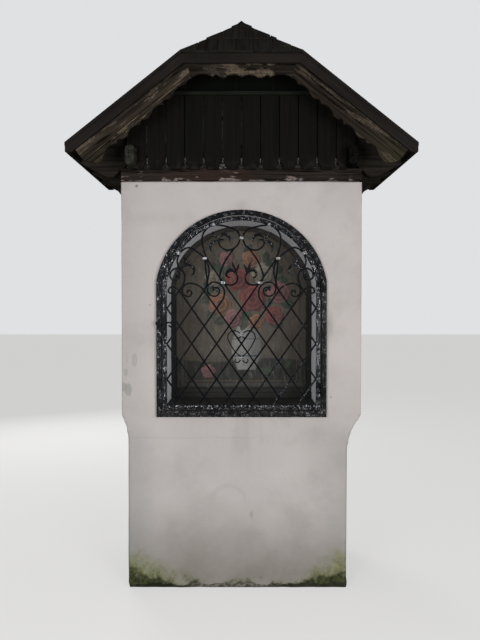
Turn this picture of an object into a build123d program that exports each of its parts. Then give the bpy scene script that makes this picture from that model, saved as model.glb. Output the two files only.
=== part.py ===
from build123d import *
from math import cos, radians, sin, sqrt, tan
import os

# Wayside shrine: a plastered pillar with an arched picture niche behind a wrought iron door,
# under a small timber roof with clipped gables.
# Millimetres. The origin is the centre of the base on the ground, +Z is up, the door faces -Y
# and +X is to the right of someone who faces the door.

# Masonry
body_width = 1300
body_depth = 650
wall_top = 2208
corbel_top = 937
shaft_top = 960
left_corbel_out = 32
left_corbel_height = 135
right_corbel_out = 74
right_corbel_height = 205
half_body = body_width / 2
face = -body_depth / 2
rear = body_depth / 2

# Niche
niche_half = 424
niche_radius = niche_half + 7
arch_centre = 1585
niche_depth = 430
sill_top = 980
sill_thickness = 20
niche_back = face + niche_depth
picture_thickness = 12
picture_frame_width = 27
picture_frame_depth = 18
picture_bottom_rail = 57
ledge_height = 33
ledge_depth = 12

# Fixed iron frame round the niche
cover_on_wall = 35
fixed_bar = 28
fixed_bottom_bar = 34
fixed_bottom = sill_top - 46
door_gap = 5
door_depth = 16
iron_front = face - door_gap - door_depth
fixed_half = niche_half + cover_on_wall
fixed_radius = niche_radius + cover_on_wall

# Door
door_half = fixed_half - fixed_bar - door_gap
door_radius = fixed_radius - fixed_bar - door_gap
door_bar = 24
door_bottom_rail = 26
door_bottom = fixed_bottom + fixed_bottom_bar + door_gap
door_inner_half = door_half - door_bar
door_inner_radius = door_radius - door_bar
layer_depth = door_depth / 2

# Lattice and scrolls
bar_width = 9
lattice_half_pitch = door_inner_half / 6
lattice_steepness = 1.424
upper_row_drop = 0.946
lattice_node_z = arch_centre - upper_row_drop * lattice_half_pitch
lattice_rows = 6
stile_places = range(3, 6)
straight_tolerance = 0.02
heart_bar = 6
heart_depth = 6
collar_height = 14
collar_length = 22
collar_depth = 3
clip_angles = (35, 69)
clip_lap = 2
leaf_depth = 5
leaf_bud_radius = 7

# Hinges, on the right side of the door
hinge_axis_x = door_half + door_gap / 2
barrel_radius = 7
barrel_stand_off = 0.5
hinge_axis_y = iron_front - barrel_radius - barrel_stand_off
pin_radius = 4
pin_play = 0.05
knuckle_height = 30
hinge_leaf_reach = 26
hinge_leaf_thickness = 3
hinge_heights = (1089, 1637)

# Lock plate and latch handle, on the left stile of the door
lock_x = -(door_half - door_bar / 2)
lock_width = 22
lock_bottom = 1360
lock_top = 1490
lock_point = 20
lock_thickness = 3
keyhole_z = 1404
keyhole_radius = 4
handle_z = 1437
handle_reach = 42
handle_shoulder = 20
handle_lift = radians(24)
handle_hook = 8
handle_bar = 9
handle_thickness = 6
handle_gap = 0.3
handle_boss_radius = 8
handle_boss_length = 7
spindle_radius = 4
spindle_play = 0.05

# Timber below the roof
tie_beam_height = 67
tie_beam_depth = 120
tie_beam_top = wall_top + tie_beam_height
purlin_width = 50
purlin_height = 104
purlin_inset = 38
purlin_outer = half_body - purlin_inset
purlin_inner = purlin_outer - purlin_width
purlin_top = tie_beam_top + purlin_height
purlin_overhang = 85
purlin_head_radius = 20
purlin_nose_radius = 12
rafter_width = 60
rafter_depth = 180
rafter_inset = 60
rafter_places = (face + rafter_inset, 0, rear - rafter_inset)
rafter_tail_x = half_body + 83
rafter_tail_drop = 40
rafter_foot = 20
board_pitch = 101.3
board_joint_gap = 2
board_thickness = 20
board_bottom = 2267
board_joints = range(-5, 6)
notch_half_width = 24
notch_height = 38
notch_shoulder_x = 17
notch_shoulder_z = 21
slot_width = 8
slot_bottom = 2304
slot_top = 2331
rail_bottom = 2656
rail_top = 2675
rail_depth = 22
upper_panel_thickness = 12
timber_play = 1

# Roof
pitch = radians(38.3)
hip_pitch = radians(46)
covering = 12
deck = 24
eaves_overhang = 242
verge_overhang = 220
roof_half_width = half_body + eaves_overhang
eaves_board = 20
deck_half_width = roof_half_width - eaves_board
verge_trim_thickness = 20
verge_trim_band = 45
bargeboard_thickness = 20
roof_half_length = rear + verge_overhang
deck_half_length = roof_half_length - verge_trim_thickness
hip_half_width = 308
eaves_bottom = 2312
rafter_offset = covering + deck
ridge_z = tie_beam_top + half_body * tan(pitch) + (rafter_offset + rafter_depth) / cos(pitch)
hip_z = ridge_z - hip_half_width * tan(pitch)
ridge_cap_leg = 70
ridge_cap_thickness = 5

# Bargeboards: depths below the underside of the deck, rises above the line of the teeth, shares of
# the run from one tooth to the next, and points of the flank and foot as a run and a depth. The
# taper is how far the teeth deepen per millimetre of run.
level_tooth_depth = 94
slope_tooth_depth = 103
slope_taper = 0.0435
arch_rise = 14
shoulder_rise = 2
lobe_rise = -1
notch_rise = 12
flank_rise = 8
arch_peak = 0.26
arch_share = 0.53
lobe_peak = 0.69
lobe_share = 0.87
flank_peak = 0.95
top_period = 146
mitre_depth = 97
mitre_arch_run = 37
mitre_flank = (58, 94)
first_tooth = 76
slope_teeth = 4
foot_run = 207
foot_arch = (38, 107)
foot_waist = (72, 120)
foot_lobe = (102, 133)
foot_toe = (137, 138)
foot_heel = (168, 113)
foot_end = (186, 84)

os.makedirs("parts", exist_ok=True)


def save(name, shape):
    """Write one node as a STEP file."""
    export_step(shape, f"parts/{name}.step")


def box_between(x0, x1, y0, y1, z0, z1):
    """A box between two x, two y and two z planes."""
    return Pos((x0 + x1) / 2, (y0 + y1) / 2, (z0 + z1) / 2) * Box(x1 - x0, y1 - y0, z1 - z0)


def panel(outline, front, back):
    """Stand an outline drawn in x and z up as a panel between two y planes."""
    return extrude(Plane.XZ.offset(-back) * outline, back - front)


def polygon(*points):
    """A straight-sided outline in x and z."""
    return make_face(Polyline(*points, close=True))


def mirrored(shape):
    """The same shape on the rear of the shrine."""
    return mirror(shape, Plane.XZ)


def arch_springing(half_width, radius):
    """Height at which the arc about the arch centre meets the upright sides."""
    return arch_centre + sqrt(radius**2 - half_width**2)


def arch_outline(half_width, bottom, radius):
    """The outline of a niche: upright sides under an arc."""
    springing = arch_springing(half_width, radius)
    sides = Polyline(
        (-half_width, springing), (-half_width, bottom), (half_width, bottom), (half_width, springing)
    )
    arc = ThreePointArc((half_width, springing), (0, arch_centre + radius), (-half_width, springing))
    return make_face(sides + arc)


def lower_shaft():
    """The foot of the pillar, which curves out to the full width at both sides."""
    left = -(half_body - left_corbel_out)
    right = half_body - right_corbel_out
    left_start = (left, corbel_top - left_corbel_height)
    right_start = (right, corbel_top - right_corbel_height)
    left_arc = TangentArc(left_start, (-half_body, corbel_top), tangent=(0, 1))
    right_arc = TangentArc(right_start, (half_body, corbel_top), tangent=(0, 1))
    top = Polyline(
        (-half_body, corbel_top), (-half_body, shaft_top), (half_body, shaft_top), (half_body, corbel_top)
    )
    bottom = Polyline(left_start, (left, 0), (right, 0), right_start)
    return panel(make_face(left_arc + right_arc + top + bottom), face, rear)


def arch_head():
    """The masonry over the niche, with its curved soffit."""
    springing = arch_springing(niche_half, niche_radius)
    block = polygon(
        (-half_body, springing), (half_body, springing), (half_body, wall_top), (-half_body, wall_top)
    )
    return panel(block - arch_outline(niche_half, sill_top, niche_radius), face, niche_back)


def masonry():
    """The pillar in the lifts in which it is built."""
    springing = arch_springing(niche_half, niche_radius)
    sill_bottom = sill_top - sill_thickness
    save("lower_shaft", lower_shaft())
    save("left_niche_pier", box_between(-half_body, -niche_half, face, niche_back, shaft_top, springing))
    save("right_niche_pier", box_between(niche_half, half_body, face, niche_back, shaft_top, springing))
    save("niche_back_wall", box_between(-half_body, half_body, niche_back, rear, shaft_top, wall_top))
    save("niche_arch_head", arch_head())
    save("niche_sill", box_between(-niche_half, niche_half, face, niche_back, sill_bottom, sill_top))


def picture():
    """The picture at the back of the niche, its frame and the ledge in front of the frame's foot."""
    outer = arch_outline(niche_half, sill_top, niche_radius)
    inner = arch_outline(
        niche_half - picture_frame_width, sill_top + picture_bottom_rail, niche_radius - picture_frame_width
    )
    board_front = niche_back - picture_thickness
    frame_front = board_front - picture_frame_depth
    save("picture_panel", panel(outer, board_front, niche_back))
    save("picture_frame", panel(outer - inner, frame_front, board_front))
    save(
        "picture_ledge",
        box_between(
            -niche_half, niche_half, frame_front - ledge_depth, frame_front, sill_top, sill_top + ledge_height
        ),
    )


def fixed_frame():
    """The iron frame fixed on the wall round the niche."""
    outer = arch_outline(fixed_half, fixed_bottom, fixed_radius)
    inner = arch_outline(fixed_half - fixed_bar, fixed_bottom + fixed_bottom_bar, fixed_radius - fixed_bar)
    return panel(outer - inner, iron_front, face)


def hinge_barrel(bottom, top, bore):
    """One knuckle of a hinge, with or without its bore."""
    knuckle = Cylinder(barrel_radius, top - bottom)
    if bore:
        knuckle -= Cylinder(pin_radius + pin_play, top - bottom)
    return Pos(hinge_axis_x, hinge_axis_y, (bottom + top) / 2) * knuckle


def hinge_leaf(side, bottom, top):
    """The flat leaf that carries a knuckle; side is -1 on the door and 1 on the fixed frame."""
    ends = sorted((hinge_axis_x, hinge_axis_x + side * hinge_leaf_reach))
    return box_between(*ends, iron_front - hinge_leaf_thickness, iron_front, bottom, top)


def hinge_pins():
    """The fixed lower knuckles, each with the pin on which the door's knuckle turns."""
    hinges = []
    for height in hinge_heights:
        bottom = height - knuckle_height
        knuckle = hinge_barrel(bottom, height, bore=False)
        pin_place = Pos(hinge_axis_x, hinge_axis_y, height + knuckle_height / 2)
        pin = pin_place * Cylinder(pin_radius, knuckle_height)
        hinges.append(knuckle + pin + hinge_leaf(1, bottom, height))
    return Compound(children=hinges)


def door_knuckles():
    """The upper knuckles, on the door."""
    knuckles = []
    for height in hinge_heights:
        barrel = hinge_barrel(height, height + knuckle_height, bore=True)
        knuckles.append(barrel + hinge_leaf(-1, height, height + knuckle_height))
    return Compound(children=knuckles)


def along(point, heading, stop):
    """A straight run if the stop lies straight ahead, else an arc that leaves along the heading."""
    chord = Vector(stop) - Vector(point)
    aside = chord.cross(Vector(heading).normalized()).length
    if aside < straight_tolerance * chord.length:
        return Line(point, stop)
    return TangentArc(point, stop, tangent=heading)


def drawn(point):
    """A point of the ironwork, drawn in lattice half pitches from the middle crossing of the upper row."""
    x, z = point
    return (x * lattice_half_pitch, lattice_node_z + z * lattice_half_pitch)


def bar_path(heading, *points):
    """A smooth line through drawn points, which leaves the first of them along the heading."""
    places = [drawn(point) for point in points]
    runs = [along(places[0], heading, places[1])]
    for place in places[2:]:
        last = runs[-1]
        runs.append(along(tuple(last @ 1)[:2], tuple(last % 1)[:2], place))
    return Wire(runs)


def bar_face(path, width):
    """The outline of a flat bar that follows a path, with rounded ends."""
    return make_face(path.offset_2d(width / 2, side=Side.BOTH, closed=True))


def climb(place, side, steps):
    """A drawn point on the lattice line through a crossing of the upper row.

    The crossings are counted from the centre line, side is 1 for the line that climbs away from it
    and -1 for the line that climbs towards it, and steps are crossings above that row.
    """
    return (2 * place + side * steps, lattice_steepness * steps)


def door_opening():
    """The outline inside the door's frame."""
    return arch_outline(door_inner_half, door_bottom + door_bottom_rail, door_inner_radius)


def lattice_bar(place, side, straight, *curl):
    """Right half: a lattice bar that runs straight for some steps above the upper row, then curls."""
    heading = (side, lattice_steepness)
    path = bar_path(heading, climb(place, side, -lattice_rows), climb(place, side, straight), *curl)
    return bar_face(path, bar_width)


def branch(heading, *points):
    """Right half: a bar that starts on another one."""
    return bar_face(bar_path(heading, *points), bar_width)


def outward_bars():
    """Right half: the bars that climb away from the centre line."""
    return [
        lattice_bar(
            0, 1, 2.5, (3.16, 5.47), (1.93, 6.68), (0.6, 6.36), (0.13, 5.57), (1.01, 4.68), (1.82, 5.23),
            (1.49, 5.5),
        ),
        lattice_bar(
            1, 1, 1, (3.57, 1.89), (4.18, 2.01), (4.76, 1.44), (4.3, 0.95), (4, 1.26), (4.21, 1.45),
            (4.33, 1.3),
        ),
        lattice_bar(2, 1, 1, (5.4, 1.72), (5.87, 1.44), (5.67, 1.23), (5.52, 1.36)),
    ]


def inward_bars():
    """Right half: the bars that climb towards the centre line, and their branches."""
    return [
        lattice_bar(
            1, -1, 0.42, (1.37, 1.21), (2.13, 2.11), (2.75, 1.59), (2.27, 0.98), (1.76, 1.35), (2.09, 1.68),
            (2.27, 1.47),
        ),
        lattice_bar(2, -1, 0.94, (2.79, 2.51), (2.93, 3.98)),
        lattice_bar(
            3, -1, 1.2, (4.55, 2.51), (4.87, 3.16), (5.16, 3.9), (4.58, 4.78), (3.91, 4.78), (2.97, 4.05)
        ),
        branch(
            (1, 1.73), (4.81, 2.99), (5.25, 3.21), (5.75, 2.72), (5.28, 2.27), (5.01, 2.51), (5.16, 2.66)
        ),
        branch(
            (0.64, -0.77), (0.57, 4.84), (1.18, 4.01), (1.73, 2.71), (1.48, 2.05), (0.72, 1.9), (0.31, 2.51),
            (0.81, 3.02), (1.19, 2.66), (0.99, 2.48),
        ),
        branch((0, 1), (2.75, 1.77), (2.64, 2.66), (2.88, 3.87)),
    ]


def side_bars():
    """The lattice bars that climb to the right and end against the door's right stile."""
    return [lattice_bar(place, 1, 0) for place in stile_places]


def other_half(faces):
    """The same outlines on the left half."""
    return [mirror(face_outline, Plane.YZ) for face_outline in faces]


def rising_outline():
    """All bars that climb to the right, trimmed to the door's frame."""
    outline = Sketch()
    for bar in outward_bars() + other_half(inward_bars()) + side_bars():
        outline += bar
    return outline & door_opening()


def heart():
    """The heart in the middle of the lattice, each half one bar."""
    lobe = bar_path(
        (0, -1), (0.45, -2.11), (0.27, -2.35), (0.07, -2.11), (0.48, -1.8), (1.06, -2.53), (0.64, -3.29),
        (0.21, -3.74), (0.07, -4.01), (0.3, -4.35), (0.49, -4.1),
    )
    right = bar_face(lobe, heart_bar)
    halves = [panel(side, iron_front - heart_depth, iron_front) for side in [right] + other_half([right])]
    return Compound(children=halves)


def collars():
    """The clamp bands across bars that touch each other, and the clips that tie scrolls to the frame."""
    on_bars = [(0, 5.65), (2.93, 4), (-2.93, 4), (1.48, 2.07), (-1.48, 2.07)]
    on_heart = [(0, -2.11), (0, -4.01)]
    bands = []
    for places, back in ((on_bars, iron_front), (on_heart, iron_front - heart_depth)):
        for place in places:
            outline = Pos(*drawn(place)) * Rectangle(collar_length, collar_height)
            bands.append(panel(outline, back - collar_depth, back))
    for angle in clip_angles:
        place = Pos(0, arch_centre) * Rot(0, 0, angle) * Pos(door_inner_radius + clip_lap, 0)
        clip = place * Rectangle(collar_length, collar_height)
        for outline in [clip] + other_half([clip]):
            bands.append(panel(outline, iron_front - collar_depth, iron_front))
    return Compound(children=bands)


def leaf(base, bend, tip, width):
    """A pointed leaf from its drawn base over its drawn bend to its drawn tip."""
    start = Vector(drawn(base))
    middle = Vector(drawn(bend))
    end = Vector(drawn(tip))
    aside = (end - start).rotate(Axis.Z, 90).normalized() * (width / 2)
    return make_face(ThreePointArc(start, middle + aside, end) + ThreePointArc(end, middle - aside, start))


def sprig(base, *lobes):
    """Leaves that fan out from a bud; each lobe is its drawn bend, its drawn tip and its width."""
    outline = Pos(*drawn(base)) * Circle(leaf_bud_radius)
    for bend, tip, width in lobes:
        outline += leaf(base, bend, tip, width)
    return outline


def leaves():
    """The sprigs at the ends of the scrolls, each against the layer of bars that carries it."""
    on_outward = [
        sprig(
            (1.8, 5.42),
            ((2.1, 5.78), (2.4, 6.15), 14),
            ((1.33, 5.9), (0.99, 5.2), 16),
            ((2.42, 5.15), (2.33, 4.46), 15),
        ),
    ]
    on_inward = [
        sprig(
            (0.42, 2.95),
            ((0.62, 3.33), (0.71, 3.75), 14),
            ((0.29, 3.28), (0.17, 3.62), 12),
            ((0.98, 3.08), (1.24, 2.5), 13),
        ),
        sprig(
            (4.6, 3.28),
            ((4.45, 3.72), (4.69, 4.15), 20),
            ((4.35, 3.56), (4.1, 3.85), 12),
            ((3.8, 3.05), (4.2, 2.6), 16),
            ((4.78, 3.22), (4.97, 3.15), 11),
        ),
        sprig((5.1, 2.55), ((5.0, 2.78), (5.2, 3.0), 10), ((5.26, 2.63), (5.42, 2.72), 10)),
        sprig((2.12, 1.6), ((2.27, 1.71), (2.42, 1.82), 11), ((1.98, 1.45), (1.85, 1.3), 10)),
    ]
    front = iron_front - leaf_depth
    behind = iron_front + layer_depth - leaf_depth
    plates = [panel(outline, behind, behind + leaf_depth) for outline in on_outward + other_half(on_inward)]
    plates += [panel(outline, front, iron_front) for outline in on_inward + other_half(on_outward)]
    return Compound(children=plates)


def door_frame():
    """The frame of the door, with the hole for the latch spindle in its left stile."""
    outer = arch_outline(door_half, door_bottom, door_radius)
    spindle_hole = Pos(lock_x, handle_z) * Circle(spindle_radius + spindle_play)
    return panel(outer - door_opening() - spindle_hole, iron_front, iron_front + door_depth)


def lock_plate():
    """The pointed plate with the keyhole and the spindle hole."""
    left = lock_x - lock_width / 2
    right = lock_x + lock_width / 2
    outline = polygon(
        (lock_x, lock_bottom), (right, lock_bottom + lock_point), (right, lock_top - lock_point),
        (lock_x, lock_top), (left, lock_top - lock_point), (left, lock_bottom + lock_point),
    )
    outline -= Pos(lock_x, keyhole_z) * Circle(keyhole_radius)
    outline -= Pos(lock_x, keyhole_z - 2 * keyhole_radius) * Rectangle(keyhole_radius, 3 * keyhole_radius)
    outline -= Pos(lock_x, handle_z) * Circle(spindle_radius + spindle_play)
    return panel(outline, iron_front - lock_thickness, iron_front)


def latch_handle():
    """The S-shaped handle with its boss and spindle, level when the door is latched."""
    rise = Line((0, 0), (handle_shoulder * cos(handle_lift), handle_shoulder * sin(handle_lift)))
    shoulder = TangentArc(rise @ 1, (handle_reach, 0), tangent=rise % 1)
    hook = TangentArc(shoulder @ 1, (handle_reach - 2 * handle_hook, -handle_hook), tangent=shoulder % 1)
    right = bar_face(Wire([rise, shoulder, hook]), handle_bar)
    outline = right + Rot(0, 0, 180) * right
    boss_back = iron_front - lock_thickness - handle_gap
    boss_front = boss_back - handle_boss_length
    scroll = panel(Pos(lock_x, handle_z) * outline, boss_front - handle_thickness, boss_front)
    boss = panel(Pos(lock_x, handle_z) * Circle(handle_boss_radius), boss_front, boss_back)
    spindle = panel(Pos(lock_x, handle_z) * Circle(spindle_radius), boss_back, iron_front + door_depth)
    return scroll + boss + spindle


def door():
    """The wrought iron door and the iron that it hangs on."""
    rising = rising_outline()
    falling = mirror(rising, Plane.YZ)
    middle = iron_front + layer_depth
    save("grille_fixed_frame", fixed_frame())
    save("frame_hinge_pins", hinge_pins())
    save("door_hinge_knuckles", door_knuckles())
    save("door_frame", door_frame())
    save("door_falling_bars", panel(falling, iron_front, middle))
    save("door_rising_bars", panel(rising, middle, middle + layer_depth))
    save("door_heart", heart())
    save("door_collars", collars())
    save("door_leaves", leaves())
    save("lock_plate", lock_plate())
    save("latch_handle", latch_handle())


def roof_line(x, offset):
    """Height of the side slope at x, some way square below the roof's outer surface."""
    return ridge_z - abs(x) * tan(pitch) - offset / cos(pitch)


def hip_line(y, offset):
    """Height of the clipped gable's slope at y, some way square below the outer surface."""
    return hip_z + (roof_half_length - abs(y)) * tan(hip_pitch) - offset / cos(hip_pitch)


def slope_x(z, offset):
    """Distance from the centre line at which the side slope has a height."""
    return (ridge_z - offset / cos(pitch) - z) / tan(pitch)


def ridge_end(offset):
    """The end of the ridge, where the two side slopes and the front hip meet."""
    top = ridge_z - offset / cos(pitch)
    y = -roof_half_length + (top - hip_z + offset / cos(hip_pitch)) / tan(hip_pitch)
    return (0, y, top)


def slab_between(top, bottom):
    """A flat slab between two outlines with as many corners."""
    faces = [Face(Wire.make_polygon(top)), Face(Wire.make_polygon(bottom))]
    for i in range(len(top)):
        faces.append(Face(Wire.make_polygon([top[i - 1], top[i], bottom[i], bottom[i - 1]])))
    return Solid(Shell(faces))


def side_corners(half_width, half_length, offset):
    """Corners of the right slope on one of its levels."""
    hip_top = hip_line(half_length, offset)
    hip_x = slope_x(hip_top, offset)
    eaves = roof_line(half_width, offset)
    x, y, z = ridge_end(offset)
    return [
        (x, y, z), (hip_x, -half_length, hip_top), (half_width, -half_length, eaves),
        (half_width, half_length, eaves), (hip_x, half_length, hip_top), (x, -y, z),
    ]


def hip_corners(half_length, offset):
    """Corners of the front hip on one of its levels."""
    hip_top = hip_line(half_length, offset)
    hip_x = slope_x(hip_top, offset)
    return [ridge_end(offset), (-hip_x, -half_length, hip_top), (hip_x, -half_length, hip_top)]


def side_slab(half_width, half_length, upper, lower):
    """The right slope between two levels below the outer surface."""
    return slab_between(
        side_corners(half_width, half_length, upper), side_corners(half_width, half_length, lower)
    )


def hip_slab(half_length, upper, lower):
    """The front hip between two levels below the outer surface."""
    return slab_between(hip_corners(half_length, upper), hip_corners(half_length, lower))


def verge_trim():
    """The smooth board round the edge of the front gable."""
    top = hip_line(roof_half_length, covering)
    lower = covering + verge_trim_band
    right = [
        (slope_x(top, covering), top),
        (roof_half_width, roof_line(roof_half_width, covering)),
        (roof_half_width, eaves_bottom),
        (slope_x(eaves_bottom, lower), eaves_bottom),
        (slope_x(top - verge_trim_band, lower), top - verge_trim_band),
    ]
    left = [(-x, z) for x, z in reversed(right)]
    return panel(polygon(*right, *left), -roof_half_length, -deck_half_length)


def scallops(start, period, count, tooth_line):
    """Arch, lobe and notch between teeth; tooth_line turns a run and a rise into a point."""
    edges = []
    for i in range(count):
        s = start + i * period
        tooth = tooth_line(s, 0)
        arch_end = tooth_line(s + arch_share * period, shoulder_rise)
        lobe_end = tooth_line(s + lobe_share * period, notch_rise)
        next_tooth = tooth_line(s + period, 0)
        edges += [
            ThreePointArc(tooth, tooth_line(s + arch_peak * period, arch_rise), arch_end),
            ThreePointArc(arch_end, tooth_line(s + lobe_peak * period, lobe_rise), lobe_end),
            ThreePointArc(lobe_end, tooth_line(s + flank_peak * period, flank_rise), next_tooth),
        ]
    return edges


def bargeboard_corner():
    """The corner of the gable under the deck, and the foot of the mitre between the boards."""
    top = hip_line(deck_half_length, rafter_offset)
    x = slope_x(top, rafter_offset)
    return (x, top), (x - mitre_depth * tan(pitch / 2), top - mitre_depth)


def hip_bargeboard():
    """The level board under the front hip, scalloped from its middle to the mitres."""
    corner, mitre = bargeboard_corner()
    top = corner[1]

    def tooth_line(s, rise):
        return (s, top - level_tooth_depth + rise)

    right = scallops(0, top_period, 1, tooth_line)
    mitre_arch = tooth_line(top_period + mitre_arch_run, arch_rise)
    right.append(ThreePointArc(tooth_line(top_period, 0), mitre_arch, mitre))
    right += Polyline(mitre, corner, (0, top), tooth_line(0, 0)).edges()
    half = make_face(Wire(right))
    outline = half + mirror(half, Plane.YZ)
    return panel(outline, -deck_half_length, -deck_half_length + bargeboard_thickness)


def slope_bargeboard():
    """The board under the right slope of the front gable, scalloped down to its square foot."""
    corner, mitre = bargeboard_corner()
    slope_run = (deck_half_width - corner[0]) / cos(pitch)
    last_tooth = slope_run - foot_run
    period = (last_tooth - first_tooth) / (slope_teeth - 1)

    def place(s, depth):
        return (
            corner[0] + s * cos(pitch) - depth * sin(pitch),
            corner[1] - s * sin(pitch) - depth * cos(pitch),
        )

    def tooth_line(s, rise):
        return place(s, slope_tooth_depth + slope_taper * (s - first_tooth) - rise)

    def foot(point):
        return place(last_tooth + point[0], point[1])

    edges = [Line(corner, mitre), ThreePointArc(mitre, place(*mitre_flank), tooth_line(first_tooth, 0))]
    edges += scallops(first_tooth, period, slope_teeth - 1, tooth_line)
    edges.append(ThreePointArc(tooth_line(last_tooth, 0), foot(foot_arch), foot(foot_waist)))
    edges.append(ThreePointArc(foot(foot_waist), foot(foot_lobe), foot(foot_toe)))
    edges += Polyline(
        foot(foot_toe), foot(foot_heel), foot(foot_end), foot((foot_end[0], 0)), corner
    ).edges()
    return panel(make_face(Wire(edges)), -deck_half_length, -deck_half_length + bargeboard_thickness)


def eaves_board_right():
    """The board that closes the right eaves between the verge trims."""
    top_outer = roof_line(roof_half_width, covering)
    top_inner = roof_line(deck_half_width, covering)
    outline = polygon(
        (deck_half_width, eaves_bottom), (roof_half_width, eaves_bottom), (roof_half_width, top_outer),
        (deck_half_width, top_inner),
    )
    return panel(outline, -deck_half_length, deck_half_length)


def ridge_cap():
    """The folded cap along the ridge between the two hips."""
    run = ridge_cap_leg * cos(pitch)
    half_length = -ridge_end(0)[1]
    under = roof_line(run, 0)
    over = roof_line(run, -ridge_cap_thickness)
    top = roof_line(0, -ridge_cap_thickness)
    outline = polygon((0, ridge_z), (run, under), (run, over), (0, top), (-run, over), (-run, under))
    return panel(outline, -half_length, half_length)


def tie_beam():
    """The front tie beam on the wall."""
    return box_between(-half_body, half_body, face, face + tie_beam_depth, wall_top, tie_beam_top)


def purlin():
    """The right purlin: square between the gables, with a rounded head beyond each of them."""
    middle = Pos((purlin_inner + purlin_outer) / 2, (tie_beam_top + purlin_top) / 2)
    width = purlin_outer - purlin_inner
    height = purlin_top - tie_beam_top
    gable = -face + board_thickness
    beam = panel(middle * Rectangle(width, height), -gable, gable)
    head_outline = middle * RectangleRounded(width, height, purlin_head_radius)
    head = panel(head_outline, -gable - purlin_overhang, -gable)
    head = fillet(head.faces().sort_by(Axis.Y)[0].edges(), purlin_nose_radius)
    return beam + head + mirrored(head)


def rafter(place):
    """One right rafter: notched over the purlin, with a tail cut level and then up to the eaves."""
    underside = rafter_offset + rafter_depth
    tail_z = tie_beam_top - rafter_tail_drop
    foot_z = roof_line(deck_half_width, rafter_offset)
    outline = polygon(
        (0, roof_line(0, rafter_offset)),
        (deck_half_width, foot_z),
        (deck_half_width, foot_z - rafter_foot),
        (rafter_tail_x, tail_z),
        (slope_x(tail_z, underside), tail_z),
        (0, roof_line(0, underside)),
    )
    seat = Pos((purlin_inner + purlin_outer) / 2, (tie_beam_top + purlin_top) / 2)
    outline -= seat * Rectangle(purlin_outer - purlin_inner, purlin_top - tie_beam_top)
    return panel(outline, place - rafter_width / 2, place + rafter_width / 2)


def under_deck(low, high):
    """The outline between two heights that clears the underside of the deck."""
    under = rafter_offset + timber_play
    return polygon(
        (-slope_x(low, under), low), (slope_x(low, under), low), (slope_x(high, under), high),
        (-slope_x(high, under), high),
    )


def gable_outline(low, high):
    """The outline of the gable between two heights, cut out for the purlins."""
    outline = under_deck(low, high)
    outline &= Pos(0, ridge_z / 2) * Rectangle(2 * (purlin_outer + timber_play), ridge_z)
    for side in (-1, 1):
        seat = Pos(side * (purlin_inner + purlin_outer) / 2, (low + purlin_top) / 2)
        width = purlin_outer - purlin_inner + 2 * timber_play
        outline -= seat * Rectangle(width, purlin_top - low + 2 * timber_play)
    return outline


def board_notch():
    """The pointed arch cut across the foot of a joint between two gable boards."""
    top = (0, notch_height)
    right = ThreePointArc((notch_half_width, 0), (notch_shoulder_x, notch_shoulder_z), top)
    left = ThreePointArc(top, (-notch_shoulder_x, notch_shoulder_z), (-notch_half_width, 0))
    return make_face(right + left + Line((-notch_half_width, 0), (notch_half_width, 0)))


def gable_boards():
    """The upright boards of the front gable, with a notch and a slot at the foot of each joint."""
    outline = gable_outline(board_bottom, rail_top)
    joint_middle = (board_bottom + rail_top) / 2
    slot_middle = (slot_bottom + slot_top) / 2
    notch = board_notch()
    for joint in board_joints:
        x = joint * board_pitch
        outline -= Pos(x, joint_middle) * Rectangle(board_joint_gap, rail_top - board_bottom)
        outline -= Pos(x, board_bottom) * notch
        outline -= Pos(x, slot_middle) * Rectangle(slot_width, slot_top - slot_bottom)
    return panel(outline, face - board_thickness, face)


def gable_rail():
    """The batten across the top of the gable boards."""
    front = face - board_thickness - rail_depth
    return panel(under_deck(rail_bottom, rail_top), front, face - board_thickness)


def upper_gable_panel():
    """The panel behind the boards, which shows above the rail and through their slots."""
    top = min(hip_line(face, rafter_offset), roof_line(0, rafter_offset)) - timber_play
    return panel(gable_outline(tie_beam_top, top), face, face + upper_panel_thickness)


def save_front_and_rear(name, shape):
    """Write a front piece and its twin on the rear."""
    save(f"front_{name}", shape)
    save(f"rear_{name}", mirrored(shape))


def save_right_and_left(name, shape):
    """Write a piece of the right side and its twin on the left."""
    save(f"right_{name}", shape)
    save(f"left_{name}", mirror(shape, Plane.YZ))


def timber():
    """The carpentry that carries the roof and closes its gables."""
    save_front_and_rear("tie_beam", tie_beam())
    save_right_and_left("purlin", purlin())
    save_right_and_left("rafters", Compound(children=[rafter(place) for place in rafter_places]))
    save_front_and_rear("gable_boards", gable_boards())
    save_front_and_rear("gable_rail", gable_rail())
    save_front_and_rear("upper_gable_panel", upper_gable_panel())


def roof():
    """The decks, their covering and the boards along their edges."""
    save_right_and_left("roof_deck", side_slab(deck_half_width, deck_half_length, covering, rafter_offset))
    save_right_and_left("roof_covering", side_slab(roof_half_width, roof_half_length, 0, covering))
    save_front_and_rear("hip_deck", hip_slab(deck_half_length, covering, rafter_offset))
    save_front_and_rear("hip_covering", hip_slab(roof_half_length, 0, covering))
    save_front_and_rear("verge_trim", verge_trim())
    save_front_and_rear("hip_bargeboard", hip_bargeboard())
    board = slope_bargeboard()
    save_front_and_rear("right_bargeboard", board)
    save_front_and_rear("left_bargeboard", mirror(board, Plane.YZ))
    save_right_and_left("eaves_board", eaves_board_right())
    save("ridge_cap", ridge_cap())


masonry()
picture()
door()
timber()
roof()
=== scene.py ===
"""Looks for the wayside shrine: camera, light, materials and the pieces that the frame leaves plain."""

import math
import random

import bmesh
import bpy
from mathutils import Matrix, Vector, noise
from mathutils.kdtree import KDTree


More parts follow.
